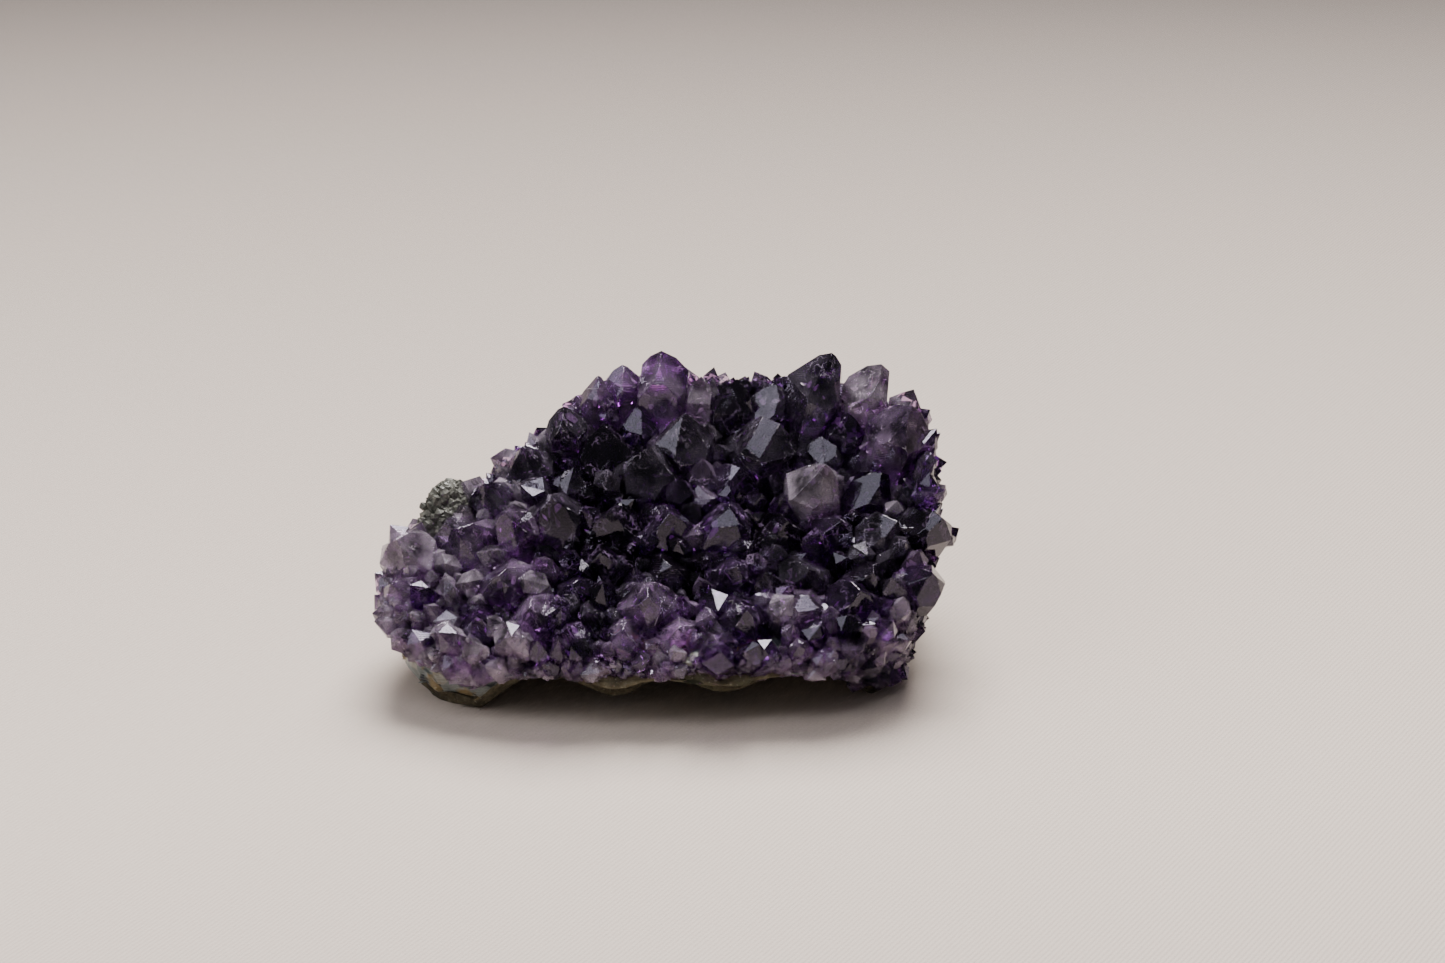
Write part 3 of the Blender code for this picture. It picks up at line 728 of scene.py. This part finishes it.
def veils(name, per_crystal, widths, nodes):
    """Thin six-sided plates inside the large crystals, at random angles: cracks that catch light."""
    middles, reach = [], []
    for node in nodes:
        low, high = (np.array(c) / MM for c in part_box(node))
        middles.append((low + high) / 2 + [0, -0.6, 1.2])
        reach.append((high - low) / 2)
    count = len(nodes) * per_crystal
    middles, reach = (np.repeat(np.array(a), per_crystal, axis=0) for a in (middles, reach))
    middles = middles + reach * rng.uniform(-0.42, 0.42, (count, 3))
    normal, aside = rng.normal(size=(2, count, 3))
    normal = unit(normal)
    first = unit(np.cross(normal, aside))
    second = np.cross(normal, first)
    turn = np.linspace(0, 2 * np.pi, 6, endpoint=False)
    size = rng.uniform(*widths, (count, 1)) / 2 * rng.uniform(0.35, 1.2, (count, 6))
    rim = (first[:, None] * (size * np.cos(turn))[..., None]
           + second[:, None] * (0.6 * size * np.sin(turn))[..., None]) + middles[:, None]
    thick = 0.03 * normal[:, None]
    verts = np.concatenate([rim - thick, rim + thick], axis=1).reshape(-1, 3)
    k = np.arange(6)
    sides = np.stack([k, 6 + k, 6 + (k + 1) % 6, (k + 1) % 6], -1)
    faces = []
    for base in (np.arange(count) * 12).tolist():
        faces += (sides + base).tolist()
        faces += [[base + j for j in range(6)], [base + j for j in range(11, 5, -1)]]
    return mesh_from(name, verts, faces)


slot_of = {part["node"]: part["material_slot"] for part in frame["record"]["subparts"]}
crystals = sorted(node for node in frame["nodes"] if slot_of[node] in KINDS)
for node in crystals:
    keep(node + "_piece", bevelled(node), KINDS[slot_of[node]], slot_of[node], node)
print(len(crystals), "large crystals")

crack = Finish("healed_crack")
crack.wire(crack.shader.inputs["Base Color"], crack.ramp(crack.noise(0.6, 3), (0.3, (0.16, 0.13, 0.18)),
                                                         (0.7, (0.55, 0.50, 0.56))))
crack.wire(crack.shader.inputs["Roughness"], crack.span(crack.noise(0.5, 3), 0.3, 0.7, 0.1, 0.5))
keep("veils", veils("veils", 4, (1.0, 3.4), crystals), crack, "quartz_pale")

# %% [markdown]
# Between the large crystals the bed is packed with smaller ones, in two sizes. A crystal is a
# six-sided prism that ends in six faces, none quite as large as the next, and no two crystals
# are alike. All of them are worked out together: one array of unit crystals,
# stretched, turned to their own axes and moved to their feet on the bed.

# %% Many crystals at once
ROOT_DEPTH = 1.2


def cluster(feet, axes, widths, heights):
    """Arrays of crystals: N feet, axes, widths and heights give points (N, 13, 3) and faces.

    Points 0 to 5 are the root, 6 to 11 the shoulder, 12 the tip. The shoulder's points stand at
    uneven heights, so the six end faces differ; each end face is a triangle and stays flat.
    """
    count = len(feet)
    turn = np.linspace(0, 2 * np.pi, 6, endpoint=False) + rng.uniform(0, 2 * np.pi, (count, 1))
    reach = widths[:, None] / 2 * rng.uniform(0.85, 1.15, (count, 6))
    pitch = np.minimum(widths * rng.uniform(0.42, 0.6, count), heights * 0.8)
    uneven = rng.uniform(-0.2, 0.2, (count, 6)) * widths[:, None]
    points = np.zeros((count, 13, 3))
    points[:, 6:12, 0] = reach * np.cos(turn)
    points[:, 6:12, 1] = reach * np.sin(turn)
    points[:, 0:6, :2] = points[:, 6:12, :2]
    points[:, 6:12, 2] = heights[:, None] - pitch[:, None] + uneven
    points[:, 0:6, 2] = -ROOT_DEPTH
    points[:, 12, 2] = heights
    points[:, 12, :2] = rng.uniform(-0.24, 0.24, (count, 2)) * widths[:, None]
    away = np.where(np.abs(axes[:, 2:]) < 0.9, [[0, 0, 1.0]], [[1.0, 0, 0]])
    first = unit(np.cross(away, axes))
    second = np.cross(axes, first)
    turned = np.stack([first, second, axes], axis=1)
    points = np.einsum("npk,nkj->npj", points, turned) + feet[:, None, :]
    k = np.arange(6)
    sides = np.stack([k, (k + 1) % 6, 6 + (k + 1) % 6, 6 + k], -1)
    ends = np.stack([6 + k, 6 + (k + 1) % 6, np.full(6, 12)], -1)
    faces = []
    for base in (np.arange(count) * 13).tolist():
        faces += (sides + base).tolist() + (ends + base).tolist()
        faces.append([base + j for j in (5, 4, 3, 2, 1, 0)])
    return points.reshape(-1, 3), faces


def grow(name, kind, feet, axes, widths, heights, order=tuple(KINDS), in_frame=False):
    """Add crystals as one piece for each kind, in the order given.

    Their feet are in the drawing's place, or in the frame's already where in_frame says so.
    """
    for which in order:
        chosen = kind == which
        if not chosen.any():
            continue
        verts, faces = cluster(feet[chosen], axes[chosen], widths[chosen], heights[chosen])
        verts = verts if in_frame else into_frame(verts)
        keep(name + "_" + which, mesh_from(name, verts, faces), KINDS[which], which)
    print(name, len(feet))


def lean_of(x, y):
    """The general direction of growth at a place on the bed."""
    across, back = 0.007 * x, np.maximum(0.021 * (y + 3), -0.2) - BED_SLOPE
    return unit(np.stack([across, back, np.full_like(across, 0.9)], -1))


def scatter(places, spacing):
    """Keep places one by one that are at least spacing from all kept before."""
    kept = np.empty((0, 2))
    for place in places:
        if (np.hypot(*(kept - place).T) > spacing).all():
            kept = np.vstack([kept, place])
    return kept


def inside_border(xy, margin):
    """Whether plan points lie inside the bed's border, drawn in by a margin."""
    t = np.arange(400) / 400
    loop = CENTRE + (loop_points(BED_BORDER, t) - CENTRE) * (1 - margin / 35)
    angle = np.arctan2(*(xy - CENTRE).T[::-1])
    loop_angle = np.arctan2(*(loop - CENTRE).T[::-1])
    order = np.argsort(loop_angle)
    reach = np.interp(angle, loop_angle[order], np.hypot(*(loop - CENTRE).T)[order], period=2 * np.pi)
    return np.hypot(*(xy - CENTRE).T) < reach


# %% [markdown]
# What kind a small crystal is follows from where it stands: mostly that of the nearest large
# crystal, sometimes one step darker or lighter, because colour came in patches as the geode's
# water changed.

# %% Where the kinds grow
middles, kinds_near, room = [], [], []      # each large crystal's middle, kind and reach
for node in crystals:
    low, high = np.array(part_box(node)) / MM
    middles.append(((low + high) / 2)[:2] - MIDDLE)
    kinds_near.append(slot_of[node])
    room.append((high - low)[:2].mean() / 2)
middles, room = np.array(middles), np.array(room)
NEIGHBOURS = {
    "amethyst_dark": ("amethyst_purple", "quartz_grey"),
    "amethyst_purple": ("amethyst_dark", "amethyst_lilac"),
    "amethyst_lilac": ("quartz_pale", "amethyst_purple"),
    "quartz_pale": ("amethyst_lilac", "quartz_grey"),
    "quartz_grey": ("amethyst_dark", "amethyst_purple"),
}


def kinds_at(xy):
    """A kind for each place: the nearest large crystal's or one of its neighbours, and mostly pale
    towards the left end.
    """
    nearest = ((xy[:, None] - middles[None]) ** 2).sum(-1).argmin(1)
    draw = rng.uniform(0, 1, len(xy))
    names = []
    for i, chance in zip(nearest, draw):
        kind = kinds_near[i]
        names.append(kind if chance < 0.6 else NEIGHBOURS[kind][0 if chance < 0.8 else 1])
    names = np.array(names)
    names[rng.uniform(0, 1, len(xy)) < 0.8 * smooth(-16, -26, xy[:, 0])] = "quartz_pale"
    return names


# %% Middling and small crystals on the bed
def plant(name, count, spacing, margin, widths, stretch, wander, lift, clear):
    """Scatter crystals over the bed, from count tries, and add them.

    They stand at least spacing apart and margin inside the border. Each is stretch times as high
    as wide, and lift more. Their axes wander from the general lean. Their feet stay out of the
    middle of each large crystal, to the share clear of its reach, and they are shorter along the
    back, where they would change the skyline.
    """
    tries = rng.uniform([-48, -31], [47, 28], (count, 2))
    apart = np.hypot(*np.moveaxis(tries[:, None] - middles[None], -1, 0))
    tries = tries[(apart > clear * room).all(axis=1)]
    tries = tries[np.hypot(*(tries - KNOB).T) > KNOB_BARE]
    places = scatter(tries[inside_border(tries, margin)], spacing)
    width = rng.uniform(*widths, len(places))
    height = width * rng.uniform(*stretch, len(places)) + lift
    height *= 1 - 0.5 * smooth(10, 20, places[:, 1] + 0.3 * np.abs(places[:, 0]))
    axes = unit(lean_of(*places.T) + rng.normal(0, wander, (len(places), 3)))
    feet = np.column_stack([places, bed_height(*places.T) - 0.4])
    grow(name, kinds_at(places), feet, axes, width, height)


plant("middling", 6000, spacing=2.8, margin=1.5, widths=(3.0, 5.8), stretch=(1.0, 1.35), wander=0.22,
      lift=2.2, clear=0.85)
plant("small", 6000, spacing=1.8, margin=0.5, widths=(1.5, 3.0), stretch=(1.0, 1.6), wander=0.32,
      lift=1.8, clear=0.6)

# %% [markdown]
# At the back left corner a mossy knob of the crust stands bare of amethyst. Tiny blunt crystals
# of plain quartz cover it like coarse sugar.

# %% Grains on the knob
def knob_grains(count):
    """Small crystals on the knob, at all angles near upright."""
    places = KNOB + rng.normal(0, 3.4, (count, 2))
    places = places[inside_border(places, -0.5)]
    feet = np.column_stack([places, bed_height(*places.T) + knob_height(*places.T)])
    upright = np.column_stack([(places - KNOB) * 0.15, np.ones(len(places))])
    axes = unit(upright + rng.normal(0, 0.4, feet.shape))
    width = rng.uniform(0.7, 1.9, len(places))
    verts, faces = cluster(feet, axes, width, width * rng.uniform(0.4, 0.8, len(places)))
    print("knob grains", len(places))
    return mesh_from("knob_grains", into_frame(verts), faces)


keep("knob_grains", knob_grains(420), crust, "quartz")

# %% [markdown]
# Large crystals rarely stand alone. Smaller ones grew on their flanks at the same time, nearly
# parallel to them, and break up their outlines.

# %% Crystals on the flanks of the large ones
def flank_crystals(name, each, widths, stretch, wander):
    """Crystals part way up the large ones' sides, leaning a little outwards."""
    feet, axes, kind = [], [], []
    for node in crystals:
        low, high = (np.array(c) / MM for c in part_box(node))
        middle = (low + high) / 2
        reach = (high - low)[:2].mean() / 2
        axis = lean_of(middle[0] - MIDDLE[0], middle[1] - MIDDLE[1])
        turn = rng.uniform(0, 2 * np.pi, each)
        level = np.column_stack([np.cos(turn), np.sin(turn), 0 * turn])
        level -= (level @ axis)[:, None] * axis
        up = rng.uniform(-0.35, 0.1, each) * (high - low)[2]
        feet.append(middle + level * reach * 0.75 + up[:, None] * axis)
        axes.append(axis + 0.25 * level)
        kind += [slot_of[node]] * each
    feet, axes, kind = np.vstack(feet), np.vstack(axes), np.array(kind)
    axes = unit(axes + rng.normal(0, wander, axes.shape))
    width = rng.uniform(*widths, len(feet))
    height = width * rng.uniform(*stretch, len(feet))
    grow(name, kind, feet, axes, width, height, in_frame=True)


flank_crystals("flank", 4, widths=(1.6, 4.0), stretch=(0.7, 1.1), wander=0.15)
flank_crystals("druse", 9, widths=(0.8, 1.9), stretch=(0.7, 1.2), wander=0.35)

# %% [markdown]
# Round the broken edge the crystals are seen from the side. Short ones stand out from the wall
# at all angles, paler than on the bed, and give it its sparkle.

# %% Crystals on the broken side
def side_crystals(name, count, low, high, widths, stretch, rise, turns=(0, 1)):
    """Crystals on the quartz's broken side, pointing outwards and up.

    low and high are shares of the way down the side, rise is the upward part of their axes, and
    turns is the stretch of the border they keep to, from 0 to 1 round it. They stay off the agate
    at the front left corner and the ground, and are darker at the right end.
    """
    t = rng.uniform(*turns, count) % 1
    top = loop_points(BED_BORDER, t)
    z_top = bed_height(*top.T)
    z_under = quartz_under(*seam(t, quartz_under).T)
    bare = np.exp(-((top[:, 0] + 42) ** 2 + (top[:, 1] + 22) ** 2) / 60)
    z = z_top + (z_under - z_top) * rng.uniform(low, high, count) * (1 - 0.6 * bare)
    plan = side_point(t, z)
    away = outward(plan)
    width = rng.uniform(*widths, count)
    height = width * rng.uniform(*stretch, count) * (1 - 0.4 * smooth(8, 18, plan[:, 1]))
    outwards = np.column_stack([away * 0.75, rng.uniform(*rise, count)])
    axes = unit(outwards + rng.normal(0, 0.3, (count, 3)))
    feet = np.column_stack([plan - away * 0.5, z])
    chance = rng.uniform(0, 1, count)
    near = kinds_at(plan)
    shade = smooth(32, 40, plan[:, 0]) * smooth(-20, -12, plan[:, 1])
    pale = 0.03 + 0.07 * smooth(20, 34, plan[:, 0]) + 0.4 * smooth(-18, -30, plan[:, 0])
    pale = pale * (1 - shade)
    kind = np.where(chance < pale, "quartz_pale", np.where(chance < pale + 0.2, "amethyst_lilac", near))
    kind[chance < 0.95 * shade] = "amethyst_purple"
    kind[chance < 0.55 * shade] = "amethyst_dark"
    kind[z + height * np.minimum(axes[:, 2], 0) < 1.2 + 0.3 * width] = "none"
    grow(name, kind, feet, axes, width, height)


side_crystals("rim", 260, -0.15, 0.45, widths=(2.6, 5.0), stretch=(0.8, 1.2), rise=(0.5, 1.4))
side_crystals("side", 900, 0.0, 0.8, widths=(1.2, 3.0), stretch=(0.7, 1.2), rise=(0.1, 0.9))
side_crystals("shards", 700, 0.0, 0.9, widths=(0.8, 1.8), stretch=(1.2, 2.2), rise=(0.0, 1.0))

# %% [markdown]
# At both ends the quartz broke along its columns, so the wall there is a sheaf of long narrow
# prisms, side by side, in the direction of growth. More short crystals fill in round the right
# end and its front corner.

# %% Columns at the ends
def columns(name, count, turns, widths, lengths, kinds):
    """Long prisms half sunk in the broken side, between two turns round the plan."""
    t = rng.uniform(*turns, count) % 1
    z_top = bed_height(*loop_points(BED_BORDER, t).T)
    z_under = quartz_under(*seam(t, quartz_under).T)
    length = rng.uniform(*lengths, count)
    z = z_top + (z_under - z_top) * rng.uniform(0.4, 0.95, count)
    plan = side_point(t, z)
    width = rng.uniform(*widths, count)
    upright = np.column_stack([outward(plan) * 0.2, np.ones(count)])
    axes = unit(upright + rng.normal(0, 0.12, (count, 3)))
    feet = np.column_stack([plan - outward(plan) * 0.3, z])
    grow(name, rng.choice(kinds, count), feet, axes, width, length, order=kinds)


columns("left_columns", 150, turns=(0.86, 0.99), widths=(1.6, 3.4), lengths=(3.5, 8),
        kinds=("quartz_pale", "amethyst_lilac"))
columns("right_columns", 120, turns=(0.28, 0.48), widths=(1.6, 3.0), lengths=(3, 7),
        kinds=("amethyst_lilac", "amethyst_purple"))
side_crystals("corner", 150, 0.3, 1.3, widths=(1.6, 3.6), stretch=(0.8, 1.3), rise=(0.0, 0.9),
              turns=(0.24, 0.36))
side_crystals("right_rim", 45, -0.5, 0.2, widths=(2.4, 4.2), stretch=(0.9, 1.3), rise=(0.5, 1.4),
              turns=(0.36, 0.46))
side_crystals("right_side", 160, 0.0, 1.0, widths=(1.6, 3.8), stretch=(0.8, 1.3), rise=(0.2, 1.0),
              turns=(0.33, 0.48))
